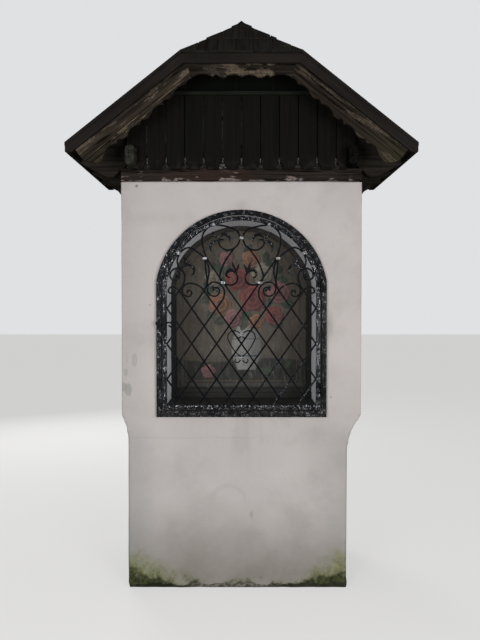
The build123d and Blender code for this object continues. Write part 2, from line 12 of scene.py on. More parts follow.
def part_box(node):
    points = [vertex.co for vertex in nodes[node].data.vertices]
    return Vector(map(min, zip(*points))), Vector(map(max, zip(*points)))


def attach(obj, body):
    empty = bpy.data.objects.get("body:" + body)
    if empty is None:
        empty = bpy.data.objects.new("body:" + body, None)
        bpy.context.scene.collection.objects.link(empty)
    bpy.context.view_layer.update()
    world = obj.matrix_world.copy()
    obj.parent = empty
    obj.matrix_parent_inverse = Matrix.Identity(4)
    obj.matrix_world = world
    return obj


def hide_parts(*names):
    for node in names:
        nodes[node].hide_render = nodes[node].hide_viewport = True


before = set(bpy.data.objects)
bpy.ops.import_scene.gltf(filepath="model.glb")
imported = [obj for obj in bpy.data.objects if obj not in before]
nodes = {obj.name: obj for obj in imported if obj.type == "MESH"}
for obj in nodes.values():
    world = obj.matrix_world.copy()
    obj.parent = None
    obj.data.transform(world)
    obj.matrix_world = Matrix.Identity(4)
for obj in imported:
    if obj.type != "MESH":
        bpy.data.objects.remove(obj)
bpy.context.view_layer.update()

# The photograph: where the camera stood and how its frame fits the front of the shrine.
CAMERA_HEIGHT = 1.54
CAMERA_DISTANCE = 3.5
CAMERA_SIDE = -0.008
CAMERA_TILT = math.radians(1.33)
FOCAL_PIXELS = 647
FRAME_LONG_SIDE = 640
SENSOR = 36

# Studio: the world as a lamp and as the backdrop, and what is added to the floor for the camera.
WORLD_LIGHT = 0.38
WORLD_SEEN = 0.8
FLOOR_SEEN = 0.51
FLOOR_SIZE = 60
LIGHT_AIM = (0, 0, 1.5)
LAMPS = (
    # name, place, width of the lamp, watts
    ("left_front", (-1.9, -4.6, 1.45), 1.4, 76),
    ("right_front", (2.1, -4.4, 1.35), 1.8, 92),
    ("rear", (-2.5, 4.5, 3.0), 2.5, 110),
)

# Places that the looks share, taken from the frame.
WALL_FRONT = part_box("lower_shaft")[0].y
WALL_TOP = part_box("niche_arch_head")[1].z
IRON_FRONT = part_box("door_frame")[0].y
PANEL_LOW, PANEL_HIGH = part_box("picture_panel")
DOOR_LOW, DOOR_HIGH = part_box("door_frame")
ARCH_CENTRE = 1.585
WELD_DISTANCE = 0.00005
SHARP_ANGLE = math.radians(35)

# Picture: the part of the panel that its frame leaves open.
PICTURE_SIDE_RAIL = 0.027
PICTURE_BOTTOM_RAIL = 0.057
PICTURE_HALF = PANEL_HIGH.x - PICTURE_SIDE_RAIL
PICTURE_BOTTOM = PANEL_LOW.z + PICTURE_BOTTOM_RAIL
PICTURE_TOP = PANEL_HIGH.z - PICTURE_SIDE_RAIL
PICTURE_RADIUS = PICTURE_HALF + 0.007
PICTURE_GRID = 0.005
JAMB_SIDE = 0.36
PAINT_THICKNESS = 0.001
PAINT_OVERLAP = 0.002
DIMMING = 0.68

# What is painted on it. Roses: place from the bouquet's middle, radius, colour. Fallen flowers: place
# from the middle of the picture's lower edge, then length and angle, or radius.
VASE_X = 0.03
VASE_FOOT = PICTURE_BOTTOM + 0.11
VASE_HEIGHT = 0.27
VASE_RADIUS = 0.085
BOUQUET_Z = PICTURE_BOTTOM + 0.56
LEAF_COUNT = 34
RED = (0.27, 0.05, 0.045)
ORANGE = (0.33, 0.14, 0.065)
PINK = (0.31, 0.12, 0.115)
CREAM = (0.31, 0.26, 0.19)
GREEN = (0.055, 0.085, 0.04)
DARK_GREEN = (0.03, 0.05, 0.03)
ROSES = (
    (-0.16, -0.05, 0.068, ORANGE), (-0.05, 0.1, 0.072, RED), (0.1, 0.13, 0.062, CREAM),
    (0.2, 0.02, 0.066, PINK), (-0.2, 0.1, 0.05, CREAM), (0.03, 0.22, 0.055, ORANGE),
    (0.17, -0.12, 0.056, RED), (-0.08, -0.14, 0.055, PINK), (0.04, -0.02, 0.08, RED),
    (-0.12, 0.22, 0.045, PINK), (0.06, -0.16, 0.045, ORANGE),
)
FALLEN_LEAVES = ((-0.24, 0.11, 0.08, 0.2), (0.2, 0.09, 0.09, 2.8), (0.27, 0.12, 0.06, 1.0))
FALLEN_ROSE = (-0.2, 0.1, 0.04)

# Roof: the shingles and how they lie on the deck.
COVERING = 0.012
EXPOSURE = 0.14
SHINGLE_LENGTH = EXPOSURE * 1.25
SHINGLE_THICKNESS = 0.008
SHINGLE_WIDTHS = (0.075, 0.13)
SHINGLE_GAP = 0.003
SHINGLE_BEVEL = 0.0012
TAIL_RISE = 0.001
STRIP_WIDTH = 0.034
STRIP_RISE = 0.003
STRIP_BEVEL = 0.002
HIP_REACH = 0.003
HIP_HALF = 0.31

# Plaster: its mesh, where it is whitewashed and brightened with painted light inside the niche, and
# the stains on its front by place, radius, squash and strength.
PLASTER_VOXEL = 0.0135
FOOT_FLARE = 0.007
FOOT_HEIGHT = 0.05
BROAD_SWELL = 0.0022
SMALL_SWELL = 0.0012
SEAM_HEIGHT = 0.82
WHITEWASH_AND_LIGHT_SIDE = 0.45
WHITEWASH_AND_LIGHT_REAR = 0.2
SOFT_STAINS = (
    ((-0.46, WALL_FRONT, 2.01), 0.12, (0.7, 1, 2), 0.3),
    ((0.0, WALL_FRONT, 2.08), 0.06, (1, 1, 1.4), 0.4),
    ((0.475, WALL_FRONT, 1.43), 0.07, (2, 1, 0.6), 0.5),
    ((0.44, WALL_FRONT, 0.84), 0.2, (1, 1, 1.6), 0.3),
    ((0.5, WALL_FRONT, 0.6), 0.3, (1, 1, 0.7), 0.28),
)
FRAYED_STAINS = (
    ((-0.64, WALL_FRONT, 1.095), 0.052, (1.7, 1, 1), 0.5),
    ((-0.614, WALL_FRONT, 1.081), 0.062, (1.9, 1, 1), 0.55),
    ((-0.626, WALL_FRONT, 1.174), 0.042, (2.2, 1, 1), 0.4),
    ((-0.58, WALL_FRONT, 1.242), 0.058, (2.2, 1, 1), 0.33),
    ((-0.622, WALL_FRONT, 1.26), 0.06, (4, 1, 1), 0.15),
)
SMALL_MARKS = (
    ((-0.565, WALL_FRONT, 2.18), 0.013, (1, 1, 1), 0.75),
    ((0.484, WALL_FRONT, 1.04), 0.008, (1, 1, 1), 0.6),
    ((-0.495, WALL_FRONT, 1.54), 0.007, (1, 1, 1), 0.6),
    ((0.055, WALL_FRONT, 0.4), 0.034, (2.6, 1, 1), 0.25),
)

# Iron
DOOR_RAIL = 0.026
DOOR_STILE = 0.024
FORGED_VOXEL = 0.0035
HAMMER_MARK = 0.011
HAMMER_DEPTH = 0.0011
LEAF_VOXEL = 0.0013
LEAF_PUFF = 0.005
LEAF_RIM = 0.009
BEAD_RADIUS = 0.0055
BEAD_PITCH = 0.0435
# The faces of the front leaves lie before LEAF_FRONT, those of the rear leaves in REAR_LEAF_FRONT.
LEAF_FRONT = IRON_FRONT - 0.0025
REAR_LEAF_FRONT = (IRON_FRONT + 0.001, IRON_FRONT + 0.0055)

# Gable: its boards, and the slots at the foot of their joints.
BOARD_PITCH = 0.1013
SLOT_BOTTOM = WALL_TOP + 0.094
SLOT_TOP = WALL_TOP + 0.124

rng = random.Random(11)


class Surface:
    """A procedural material under construction, on the piece's own coordinates in metres."""

    def __init__(self, name, roughness, metallic=0.0, specular=0.5):
        self.material = bpy.data.materials.new(name)
        self.material.use_nodes = True
        self.tree = self.material.node_tree
        self.shader = self.tree.nodes["Principled BSDF"]
        self.shader.inputs["Roughness"].default_value = roughness
        self.shader.inputs["Metallic"].default_value = metallic
        self.shader.inputs["Specular IOR Level"].default_value = specular
        self.place = self.tree.nodes.new("ShaderNodeTexCoord").outputs["Object"]
        self.axes = self.add("ShaderNodeSeparateXYZ", Vector=self.place).outputs
        self.normal = None

    def add(self, kind, **inputs):
        """A node with its inputs linked or set; an underscore in a name stands for a space."""
        made = self.tree.nodes.new(kind)
        for name, value in inputs.items():
            self.feed(made.inputs[name.replace("_", " ")], value)
        return made

    def feed(self, socket, value):
        if isinstance(value, bpy.types.NodeSocket):
            self.tree.links.new(value, socket)
        else:
            socket.default_value = value

    def turn(self, angle):
        """Turn the coordinates about the y axis, so that x runs along a sloping board."""
        made = self.add("ShaderNodeVectorRotate", Vector=self.place, Angle=angle)
        made.rotation_type = "Y_AXIS"
        self.place = made.outputs[0]

    def attribute(self, name):
        """A value or vector that the mesh carries."""
        made = self.tree.nodes.new("ShaderNodeAttribute")
        made.attribute_name = name
        return made.outputs

    def math(self, operation, first, second=0.0):
        made = self.tree.nodes.new("ShaderNodeMath")
        made.operation = operation
        self.feed(made.inputs[0], first)
        self.feed(made.inputs[1], second)
        return made.outputs[0]

    def noise(self, scale, detail=4.0, roughness=0.55, stretch=(1, 1, 1), distortion=0.0):
        """Soft noise from 0 to 1."""
        where = self.add("ShaderNodeMapping", Vector=self.place, Scale=stretch).outputs[0]
        made = self.add(
            "ShaderNodeTexNoise", Vector=where, Scale=scale, Detail=detail, Roughness=roughness,
            Distortion=distortion,
        )
        return made.outputs["Fac"]

    def cells(self, scale, feature="F1"):
        """Distance in a cell pattern."""
        made = self.add("ShaderNodeTexVoronoi", Vector=self.place, Scale=scale)
        made.feature = feature
        return made.outputs["Distance"]

    def ramp(self, value, low, high, to_low=0.0, to_high=1.0):
        """The value mapped from one range to another, smooth and clamped."""
        made = self.add("ShaderNodeMapRange", Value=value)
        made.interpolation_type = "SMOOTHSTEP"
        for name, number in (("From Min", low), ("From Max", high), ("To Min", to_low), ("To Max", to_high)):
            made.inputs[name].default_value = number
        return made.outputs[0]

    def near(self, centre, radius, squash=(1, 1, 1)):
        """1 at a point, falling to 0 at a radius; squash stretches the spot along the axes."""
        offset = self.add("ShaderNodeVectorMath", Vector=self.place)
        offset.operation = "SUBTRACT"
        offset.inputs[1].default_value = centre
        scaled = self.tree.nodes.new("ShaderNodeVectorMath")
        scaled.operation = "MULTIPLY"
        self.feed(scaled.inputs[0], offset.outputs[0])
        scaled.inputs[1].default_value = squash
        length = self.tree.nodes.new("ShaderNodeVectorMath")
        length.operation = "LENGTH"
        self.feed(length.inputs[0], scaled.outputs[0])
        return self.ramp(length.outputs["Value"], 0, radius, 1, 0)

    def mix(self, share, first, second):
        """Two colours mixed by a share."""
        made = self.tree.nodes.new("ShaderNodeMix")
        made.data_type = "RGBA"
        self.feed(made.inputs["Factor"], share)
        self.feed(made.inputs[6], self.paint(first))
        self.feed(made.inputs[7], self.paint(second))
        return made.outputs[2]

    @staticmethod
    def paint(colour):
        return (*colour, 1) if isinstance(colour, tuple) else colour

    def colour(self, value):
        self.feed(self.shader.inputs["Base Color"], self.paint(value))

    def roughness(self, value):
        self.feed(self.shader.inputs["Roughness"], value)

    def bump(self, height, depth):
        """A relief of a height from 0 to 1, as deep as given in metres."""
        made = self.add("ShaderNodeBump", Height=height, Strength=1.0, Distance=depth)
        if self.normal is not None:
            self.feed(made.inputs["Normal"], self.normal)
        self.normal = made.outputs[0]
        self.feed(self.shader.inputs["Normal"], self.normal)


def stained(s, tone, cloudy):
    """Soft, frayed and small stains over the tone of the plaster's front."""
    for centre, radius, squash, share in SOFT_STAINS:
        spot = s.math("MULTIPLY", s.near(centre, radius, squash), s.ramp(cloudy, 0.25, 0.6, 0.3, 1))
        tone = s.mix(s.math("MULTIPLY", spot, share), tone, (0.27, 0.262, 0.235))
    frayed = s.ramp(s.noise(30, detail=6, roughness=0.65), 0.3, 0.7, -0.14, 0.14)
    for centre, radius, squash, share in FRAYED_STAINS:
        spot = s.math("ADD", s.near(centre, radius, squash), frayed)
        tone = s.mix(s.ramp(spot, 0.3, 0.5, 0, share), tone, (0.26, 0.265, 0.225))
    for centre, radius, squash, share in SMALL_MARKS:
        mark = s.near(centre, radius, squash)
        tone = s.mix(s.math("MULTIPLY", mark, share), tone, (0.075, 0.066, 0.04))
    stain = s.near((-0.07, WALL_FRONT, 0.465), 0.15)
    ring = s.ramp(s.math("ABSOLUTE", s.math("SUBTRACT", stain, 0.33)), 0.0, 0.2, 0.14, 0)
    return s.mix(s.math("MULTIPLY", ring, s.ramp(s.axes["Z"], 0.4, 0.52)), tone, (0.27, 0.26, 0.24))


def seamed(s, tone):
    """A faint level seam below the niche, on the left."""
    wavy = s.math("ADD", s.axes["Z"], s.ramp(s.noise(9, detail=4), 0.3, 0.7, -0.004, 0.004))
    from_seam = s.math("ABSOLUTE", s.math("SUBTRACT", wavy, SEAM_HEIGHT))
    seam = s.math("MULTIPLY", s.ramp(from_seam, 0.0, 0.006, 0.12, 0), s.ramp(s.axes["X"], -0.05, 0.2, 1, 0))
    return s.mix(seam, tone, (0.2, 0.19, 0.18))


def overgrown(s, tone, ragged, bare):
    """Moss at the foot, highest at the corners, and the footing that shows where bare is 1."""
    x, _, z = s.axes
    reach = s.math("ADD", s.ramp(x, -0.62, -0.19, 0.205, 0.018), s.ramp(x, 0.25, 0.57, 0.0, 0.185))
    growth = s.math("SUBTRACT", s.math("ADD", reach, s.ramp(ragged, 0.3, 0.7, -0.045, 0.04)), z)
    fresh = s.mix(s.ramp(s.noise(45, detail=5), 0.35, 0.65), (0.13, 0.14, 0.045), (0.22, 0.235, 0.085))
    sunk = s.mix(s.ramp(s.noise(60, detail=5), 0.35, 0.65), (0.01, 0.013, 0.005), (0.05, 0.057, 0.018))
    tone = s.mix(s.ramp(growth, -0.05, 0.09, 0, 0.72), tone, fresh)
    thick = s.math("SUBTRACT", growth, s.math("MULTIPLY", reach, 0.5))
    tone = s.mix(s.ramp(thick, -0.03, 0.03, 0, 0.95), tone, sunk)
    footing = s.mix(s.ramp(s.noise(60, detail=6), 0.4, 0.6), (0.07, 0.065, 0.052), (0.19, 0.18, 0.15))
    # The footing is darker in the mossy corners.
    mossy = s.math("ADD", s.ramp(x, -0.32, -0.22, 1, 0), s.ramp(x, 0.1, 0.24, 0, 0.9))
    darker_footing = s.math("MULTIPLY", mossy, s.ramp(ragged, 0.25, 0.45, 0.5, 1))
    return s.mix(bare, tone, s.mix(darker_footing, footing, (0.014, 0.015, 0.007)))


def plaster():
    """Lime plaster: uneven off-white, greyer and darker towards the ground, with moss at the foot."""
    s = Surface("plaster", roughness=0.88, specular=0.2)
    x, y, z = s.axes
    broad = s.noise(1.7, detail=3)
    tone = s.mix(s.ramp(broad, 0.35, 0.65), (0.495, 0.456, 0.441), (0.545, 0.503, 0.486))
    cloudy = s.noise(5.5, detail=5, roughness=0.6)
    tone = s.mix(s.ramp(cloudy, 0.52, 0.72, 0, 0.3), tone, (0.43, 0.4, 0.382))
    streaks = s.ramp(s.noise(11, detail=3, stretch=(1, 1, 0.06)), 0.5, 0.75, 0, 0.5)
    under_grille = s.near((-0.08, WALL_FRONT, 0.88), 0.36, (1, 1, 1.1))
    tone = s.mix(s.math("MULTIPLY", streaks, under_grille), tone, (0.35, 0.315, 0.3))
    # Greyer and darker towards the ground.
    low = s.math("ADD", s.ramp(z, 0.0, 0.58, 1, 0), s.ramp(cloudy, 0.3, 0.7, -0.08, 0.08))
    tone = s.mix(low, tone, (0.247, 0.230, 0.203))
    from_middle = s.math("ABSOLUTE", x)
    below_corbel = s.ramp(z, 0.78, 0.92, 1, 0)
    aged = s.math("MULTIPLY", s.ramp(from_middle, 0.4, 0.58, 0, 0.3), below_corbel)
    tone = s.mix(s.math("ADD", aged, s.ramp(x, -0.63, -0.45, 0.18, 0)), tone, (0.28, 0.284, 0.268))
    tone = seamed(s, stained(s, tone, cloudy))
    ragged = s.noise(11, detail=8, roughness=0.7)
    bare = s.ramp(s.math("SUBTRACT", s.ramp(ragged, 0.3, 0.7, 0.01, 0.03), z), -0.004, 0.004)
    tone = overgrown(s, tone, ragged, bare)
    # Inside the niche: whitewash, made whiter still as painted light on the reveals and the back wall.
    past_front = s.ramp(y, WALL_FRONT + 0.002, WALL_FRONT + 0.008)
    before_rear = s.ramp(y, WHITEWASH_AND_LIGHT_REAR, WHITEWASH_AND_LIGHT_REAR + 0.01, 1, 0)
    between_piers = s.ramp(from_middle, WHITEWASH_AND_LIGHT_SIDE, WHITEWASH_AND_LIGHT_SIDE + 0.01, 1, 0)
    inside = s.math("MULTIPLY", past_front, between_piers)
    s.colour(s.mix(s.math("MULTIPLY", inside, before_rear), tone, (0.87, 0.88, 0.91)))
    s.bump(s.noise(14, detail=5), 0.003)
    s.bump(s.noise(70, detail=6), 0.0012)
    s.bump(s.math("MULTIPLY", bare, s.noise(40, detail=8, roughness=0.7)), 0.01)
    return s.material


def iron(name, hammer, glint_share, specular, worn=0.0):
    """Black, glossy, hammered paint with a trace of rust, and silvery metallic specks that are painted
    glints.

    The third argument is the share of these glints, and worn is how many more glints are painted low on the
    right.
    """
    s = Surface(name, roughness=0.3, specular=specular)
    rust = s.noise(24, detail=7, roughness=0.65)
    tone = s.mix(s.ramp(rust, 0.6, 0.78, 0, 0.5), (0.004, 0.0048, 0.006), (0.024, 0.016, 0.011))
    dust = s.ramp(s.axes["Z"], DOOR_LOW.z - 0.02, DOOR_LOW.z + 0.03, 0.6, 0)
    tone = s.mix(s.math("MULTIPLY", dust, s.ramp(rust, 0.35, 0.6)), tone, (0.032, 0.0285, 0.027))
    # Painted glints: silvery metallic specks standing in for the glints on the hammered paint.
    glint_spots = s.ramp(s.noise(40, detail=3), 0.6 - glint_share, 0.85 - glint_share)
    # More painted glints low on the right.
    glints_low_right = s.math("MULTIPLY", s.ramp(s.axes["X"], 0.05, 0.2), s.ramp(s.axes["Z"], 1.15, 1.3, worn, 0))
    glint_spots = s.math("MAXIMUM", glint_spots, glints_low_right)
    painted_glints = s.math("MULTIPLY", s.ramp(s.cells(150), 0.22, 0.5, 1, 0), glint_spots)
    painted_glints = s.math("MULTIPLY", painted_glints, s.ramp(s.noise(420, detail=4), 0.42, 0.58))
    s.colour(s.mix(painted_glints, tone, (0.42, 0.42, 0.45)))
    s.feed(s.shader.inputs["Metallic"], painted_glints)
    s.roughness(s.ramp(rust, 0.45, 0.75, 0.22, 0.45))
    s.bump(s.cells(1 / HAMMER_MARK, feature="SMOOTH_F1"), hammer)
    s.bump(s.noise(260, detail=4), hammer * 0.6)
    return s.material


def silver_highlight_iron():
    """Silvery iron of the collars and beads, a painted highlight: the silver stands in for the glints on
    them.
    """
    s = Surface("highlight_silver_iron", roughness=0.3, metallic=0.9)
    # Painted highlights: patches of bright silver on dark iron.
    wear = s.noise(160, detail=4)
    s.colour(s.mix(s.ramp(wear, 0.42, 0.62), (0.05, 0.05, 0.052), (0.42, 0.42, 0.43)))
    s.bump(s.noise(120, detail=3), 0.0008)
    return s.material


def stretched(along, share):
    """Scales that draw a texture out along one axis."""
    return tuple(share if axis == along else 1.0 for axis in range(3))


def wood_grain(name, dark, light, along, turn=0.0):
    """A surface of old wood with its grain along one axis, and its tone so far."""
    s = Surface(name, roughness=0.8, specular=0.0)
    if turn:
        s.turn(turn)
    rings = s.noise(60, detail=8, roughness=0.62, stretch=stretched(along, 0.045), distortion=0.35)
    tone = s.mix(s.ramp(rings, 0.32, 0.68), dark, light)
    tone = s.mix(s.ramp(s.noise(3.5, detail=5, roughness=0.6), 0.45, 0.75, 0, 0.5), tone, dark)
    s.bump(rings, 0.0012)
    return s, tone


def cracked(s, tone, along, width):
    """Long dark cracks along the grain; width is how far they open."""
    wave = s.noise(26, detail=5, roughness=0.6, stretch=stretched(along, 0.028), distortion=0.6)
    crack = s.ramp(s.math("ABSOLUTE", s.math("SUBTRACT", wave, 0.5)), 0.0, width, 1, 0)
    s.bump(s.math("SUBTRACT", 1.0, crack), 0.004)
    return s.mix(s.math("MULTIPLY", crack, 0.9), tone, (0.003, 0.0025, 0.002))


def flaked(s, tone, along, colour, left, draw=0.3, scale=17):
    """What is left of the paint, in flakes; left is its share, a number or a socket."""
    flakes = s.noise(scale, detail=9, roughness=0.72, stretch=stretched(along, draw))
    cover = s.ramp(s.math("ADD", flakes, left), 1.0, 1.03)
    worn = s.mix(s.ramp(s.noise(90, detail=5), 0.35, 0.7), colour, tuple(0.45 * part for part in colour))
    s.bump(cover, 0.0009)
    return s.mix(s.math("MULTIPLY", cover, 0.9), tone, worn)


def wood(name, dark, light, along=0, cracks=0.0):
    """Old bare wood."""
    s, tone = wood_grain(name, dark, light, along)
    if cracks:
        tone = cracked(s, tone, along, cracks)
    s.colour(tone)
    return s.material


def beam_wood():
    """The tie beam: brown, with pinkish paint left in flakes along its lower edge."""
    s, tone = wood_grain("beam_wood", (0.012, 0.0098, 0.0085), (0.036, 0.029, 0.025), along=0)
    redder = s.noise(7, detail=4, stretch=(0.5, 1, 1))
    tone = s.mix(s.ramp(redder, 0.5, 0.7, 0, 0.6), tone, (0.044, 0.026, 0.02))
    tone = cracked(s, tone, 0, 0.008)
    lower = s.ramp(s.axes["Z"], WALL_TOP, WALL_TOP + 0.05, 0.2, 0)
    patches = s.ramp(s.noise(9, detail=2, stretch=(1, 1, 0.2)), 0.4, 0.6, 0.22, 0.37)
    s.colour(flaked(s, tone, 0, (0.27, 0.22, 0.2), s.math("ADD", lower, patches), draw=0.2, scale=34))
    return s.material


def trim_wood(pitch):
    """Smooth dark trim, its grain along the slopes of the roof and level across the hip."""
    s = Surface("trim_wood", roughness=0.75, specular=0.0)
    x, y, z = s.axes
    mirrored = s.add("ShaderNodeCombineXYZ", X=s.math("ABSOLUTE", x), Y=y, Z=z).outputs[0]
    sloping = s.add("ShaderNodeVectorRotate", Vector=mirrored, Angle=-pitch)
    sloping.rotation_type = "Y_AXIS"
    chosen = s.tree.nodes.new("ShaderNodeMix")
    chosen.data_type = "VECTOR"
    s.feed(chosen.inputs[0], s.ramp(s.math("ABSOLUTE", x), HIP_HALF - 0.01, HIP_HALF + 0.01))
    s.feed(chosen.inputs[4], s.place)
    s.feed(chosen.inputs[5], sloping.outputs[0])
    s.place = chosen.outputs[1]
    rings = s.noise(55, detail=8, roughness=0.6, stretch=(0.04, 1, 1), distortion=0.3)
    tone = s.mix(s.ramp(rings, 0.32, 0.68), (0.0125, 0.0108, 0.0098), (0.019, 0.0163, 0.0148))
    s.colour(s.mix(s.ramp(s.noise(4, detail=4), 0.4, 0.7, 0, 0.6), tone, (0.0235, 0.0205, 0.0185)))
    s.bump(rings, 0.0006)
    return s.material


def board_wood(name, turn, streaks, olive_below, strength):
    """A bargeboard: pale paint worn along the grain, long cracks, and algae towards its foot."""
    dark = tuple(strength * part for part in (0.014, 0.011, 0.0085))
    light = tuple(strength * part for part in (0.045, 0.035, 0.027))
    s, tone = wood_grain(name, dark, light, along=0, turn=turn)
    paint = tuple(strength * part for part in (0.11, 0.086, 0.064))
    tone = flaked(s, tone, 0, paint, 0.46, draw=0.16)
    pale = s.noise(34, detail=5, roughness=0.6, stretch=(0.03, 1, 1), distortion=0.5)
    tone = s.mix(s.ramp(pale, 0.6, 0.66, 0, streaks), tone, (0.25, 0.195, 0.12))
    tone = cracked(s, tone, 0, 0.016)
    low = s.ramp(s.axes["Z"], olive_below - 0.3, olive_below, 1, 0)
    grown = s.math("MULTIPLY", low, s.ramp(s.noise(4, detail=4), 0.35, 0.6))
    s.colour(s.mix(s.math("MULTIPLY", grown, 0.45), tone, (0.048, 0.046, 0.024)))
    return s.material


def level_board_wood():
    """The level bargeboard: grey-brown, with cream paint left right of its middle."""
    s, tone = wood_grain("level_board_wood", (0.011, 0.0088, 0.0068), (0.036, 0.0295, 0.0225), along=0)
    x = s.axes["X"]
    middle = s.math("MULTIPLY", s.ramp(x, -0.16, -0.04), s.ramp(x, 0.1, 0.26, 1, 0))
    tone = flaked(s, tone, 0, (0.07, 0.06, 0.047), 0.46)
    tone = flaked(s, tone, 0, (0.14, 0.107, 0.078), s.math("ADD", 0.32, s.math("MULTIPLY", middle, 0.24)))
    s.colour(cracked(s, tone, 0, 0.01))
    return s.material


def gable_wood():
    """The nearly black boards of the gable, greenish and reddish by turns, dusty at their feet."""
    s = Surface("gable_wood", roughness=0.8, specular=0.0)
    x, _, z = s.axes
    rings = s.noise(60, detail=8, roughness=0.6, stretch=(1, 1, 0.04), distortion=0.3)
    boards = s.math("DIVIDE", x, BOARD_PITCH)
    kind = s.tree.nodes.new("ShaderNodeTexWhiteNoise")
    kind.noise_dimensions = "1D"
    s.feed(kind.inputs["W"], s.math("FLOOR", boards))
    by_board = s.math("MULTIPLY", kind.outputs["Value"], 0.4)
    tint = s.math("ADD", by_board, s.ramp(s.noise(2.5, detail=2), 0.35, 0.65, 0, 0.6))
    tone = s.mix(tint, (0.0058, 0.0066, 0.0053), (0.009, 0.0072, 0.0066))
    tone = s.mix(s.ramp(rings, 0.32, 0.68, 0, 0.5), tone, (0.0125, 0.0115, 0.01))
    to_joint = s.math("ABSOLUTE", s.math("SUBTRACT", boards, s.math("ROUND", boards)))
    tone = s.mix(s.ramp(to_joint, 0.01, 0.04, 0.85, 0), tone, (0.001, 0.001, 0.001))
    pale = s.math("ADD", s.near((-0.505, WALL_FRONT, 2.47), 0.2), s.near((-0.09, WALL_FRONT, 2.5), 0.24))
    pale = s.math("MULTIPLY", pale, s.ramp(s.noise(20, detail=4), 0.35, 0.55))
    tone = s.mix(s.math("MULTIPLY", pale, s.ramp(to_joint, 0.015, 0.035, 1, 0)), tone, (0.06, 0.056, 0.046))
    low = s.ramp(z, WALL_TOP + 0.06, WALL_TOP + 0.15, 1, 0)
    dust = s.math("MULTIPLY", low, s.ramp(s.noise(30, detail=6), 0.45, 0.7))
    s.colour(s.mix(s.math("MULTIPLY", dust, 0.4), tone, (0.035, 0.03, 0.027)))
    s.bump(rings, 0.0012)
    return s.material


def gable_backing():
    """Behind the boards: pale at their slots, dusty at the notches, and painted shade above, nearly black
    and streaked.
    """
    s = Surface("gable_backing", roughness=0.9, specular=0.0)
    z = s.axes["Z"]
    # Painted shade: nearly black with faint streaks above the notches, standing in for the dark attic behind
    # the boards.
    streaks = s.noise(55, detail=3, stretch=(1, 1, 0.02))
    tone = s.mix(s.ramp(streaks, 0.6, 0.72, 0, 0.5), (0.0045, 0.0052, 0.0042), (0.018, 0.0185, 0.016))
    dusty = s.mix(s.ramp(s.noise(110, detail=5), 0.4, 0.65), (0.009, 0.0085, 0.007), (0.045, 0.039, 0.034))
    left_of_middle = s.near((-BOARD_PITCH, WALL_FRONT, WALL_TOP + 0.07), 0.24)
    debris = s.math("MULTIPLY", left_of_middle, s.noise(150, detail=3))
    dusty = s.mix(s.ramp(debris, 0.52, 0.62), dusty, (0.25, 0.225, 0.2))
    tone = s.mix(s.ramp(z, SLOT_BOTTOM, SLOT_BOTTOM + 0.004), dusty, tone)
    above_foot = s.ramp(z, SLOT_BOTTOM, SLOT_BOTTOM + 0.003)
    slots = s.math("MULTIPLY", above_foot, s.ramp(z, SLOT_TOP, SLOT_TOP + 0.01, 1, 0))
    s.colour(s.mix(slots, tone, (0.62, 0.6, 0.57)))
    return s.material


def stone():
    """The dark slab of the niche's sill."""
    s = Surface("sill_stone", roughness=0.7, specular=0.35)
    grain = s.noise(120, detail=6)
    cloud = s.noise(8, detail=4)
    tone = s.mix(s.ramp(grain, 0.35, 0.65), (0.013, 0.0125, 0.010), (0.034, 0.032, 0.027))
    s.colour(s.mix(s.ramp(cloud, 0.4, 0.7, 0, 0.5), tone, (0.045, 0.042, 0.035)))
    s.bump(grain, 0.0008)
    s.bump(cloud, 0.002)
    return s.material


def painted_frame():
    """Dark grey paint on the picture's frame, worn at random and nearly black at its sides."""
    s = Surface("frame_paint", roughness=0.6, specular=0.2)
    x, _, z = s.axes
    wear = s.noise(22, detail=7, roughness=0.65)
    tone = s.mix(s.ramp(wear, 0.5, 0.7, 0, 0.6), (0.04, 0.037, 0.035), (0.09, 0.085, 0.08))
    aside = s.ramp(s.math("ABSOLUTE", x), JAMB_SIDE, JAMB_SIDE + 0.02)
    jamb = s.math("MULTIPLY", s.ramp(z, 1.5, 1.75, 1, 0), aside)
    low = s.math("MAXIMUM", jamb, s.ramp(z, 1.1, 1.2, 0.6, 0))
    s.colour(s.mix(s.math("MULTIPLY", low, 0.9), tone, (0.009, 0.009, 0.0085)))
    s.bump(s.noise(60, detail=5), 0.0006)
    return s.material


def picture_paint():
    """Matt oil paint in the colours that the mesh carries, with brush marks and fine cracks."""
    s = Surface("picture_paint", roughness=0.5, specular=0.4)
    tone = s.attribute("colour")["Color"]
    brush = s.noise(60, detail=6, stretch=(1, 1, 0.35), distortion=0.8)
    tone = s.mix(s.ramp(brush, 0.5, 0.75, 0, 0.35), tone, (0.012, 0.010, 0.008))
    tone = s.mix(s.ramp(brush, 0.42, 0.22, 0, 0.25), tone, (0.34, 0.31, 0.26))
    s.colour(tone)
    s.roughness(s.ramp(brush, 0.3, 0.7, 0.4, 0.65))
    s.bump(brush, 0.0012)
    crackle = s.cells(48, feature="DISTANCE_TO_EDGE")
    s.bump(s.ramp(crackle, 0.0, 0.03), 0.0004)
    return s.material


def shingle_wood():
    """Weathered grey shingles, each with a tint of its own and its grain down the slope."""
    s = Surface("shingles", roughness=0.85, specular=0.0)
    s.place = s.attribute("grain")["Vector"]
    tint = s.attribute("tint")["Fac"]
    rings = s.noise(70, detail=8, roughness=0.62, stretch=(1, 0.05, 1), distortion=0.3)
    tone = s.mix(s.ramp(rings, 0.3, 0.7), (0.008, 0.0075, 0.0065), (0.024, 0.022, 0.0195))
    tone = s.mix(s.math("MULTIPLY", tint, 0.5), tone, (0.032, 0.029, 0.025))
    lichen = s.noise(16, detail=8, roughness=0.7)
    tone = s.mix(s.ramp(lichen, 0.6, 0.72, 0, 0.6), tone, (0.034, 0.04, 0.022))
    s.colour(tone)
    s.bump(rings, 0.0018)
    s.bump(lichen, 0.001)
    return s.material


